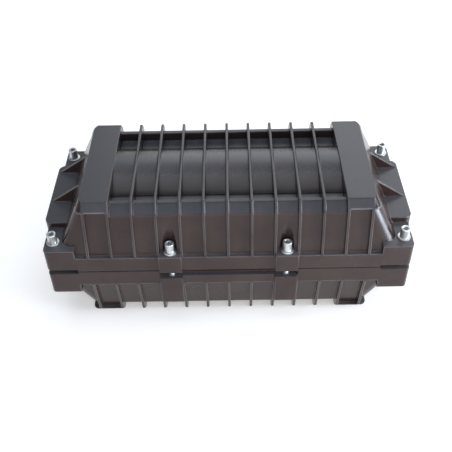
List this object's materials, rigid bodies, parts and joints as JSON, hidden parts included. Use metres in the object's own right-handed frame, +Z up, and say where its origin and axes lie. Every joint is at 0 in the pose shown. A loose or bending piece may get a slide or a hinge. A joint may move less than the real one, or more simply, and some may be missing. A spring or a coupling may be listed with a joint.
{
  "type": "inline splice closure",
  "caption": "Long black ribbed cable closure: two shells screwed together on a gasket, cable ports at both ends and hinged splice trays inside",
  "frame": {"origin": "centre of the bounding box at the bottom, under the ribs of the lower shell", "axes": "X along the closure from port end to port end, Y across it away from the viewer, Z up through the seam"},
  "size_m": [0.403, 0.188, 0.165],
  "materials": {
    "shell_plastic": "satin black moulding",
    "stainless": "bright stainless",
    "seal_rubber": "matt dark rubber",
    "plated_steel": "zinc plated sheet",
    "tray_plastic": "light grey moulding",
    "holder_plastic": "blue soft plastic",
    "clear_plastic": "clear sheet"
  },
  "bodies": {
    "base": {"lower_shell": "shell_plastic", "tray_hinge_pin": "stainless", "bracket_screws": "stainless", "tray_screws": "stainless", "clamp_screws": "stainless", "anchor_screws": "stainless", "gasket_back": "seal_rubber", "gasket_front": "seal_rubber", "end_seal_left": "seal_rubber", "end_seal_right": "seal_rubber", "tray_bracket": "plated_steel", "threaded_inserts": "plated_steel", "cable_clamp_right_back": "plated_steel", "cable_clamp_left_back": "plated_steel", "cable_clamp_right_front": "plated_steel", "cable_clamp_left_front": "plated_steel", "anchor_plate_right_back": "plated_steel", "anchor_plate_left_back": "plated_steel", "anchor_plate_right_front": "plated_steel", "anchor_plate_left_front": "plated_steel", "splice_tray_lower": "tray_plastic", "splice_holder_lower": "holder_plastic"},
    "cover": {"upper_shell": "shell_plastic", "corner_screws": "stainless", "side_screws": "stainless"},
    "tray": {"splice_tray_upper": "tray_plastic", "splice_holder_upper": "holder_plastic"},
    "lid": {"tray_lid": "clear_plastic"}
  },
  "joints": [
    {"name": "cover_lift", "type": "slide", "parent": "base", "child": "cover", "axis": [0, 0, 1], "range_m": [0, 0.25]},
    {"name": "tray_hinge", "type": "hinge", "parent": "base", "child": "tray", "pos_m": [-0.098, 0, 0.06065], "axis": [0, -1, 0], "range_deg": [0, 60]},
    {"name": "lid_lift", "type": "slide", "parent": "tray", "child": "lid", "axis": [0, 0, 1], "range_m": [0, 0.012]}
  ],
  "couplings": [
    {"joint": "tray_hinge", "follows": "cover_lift", "rad_per_m": 4.1888}
  ]
}
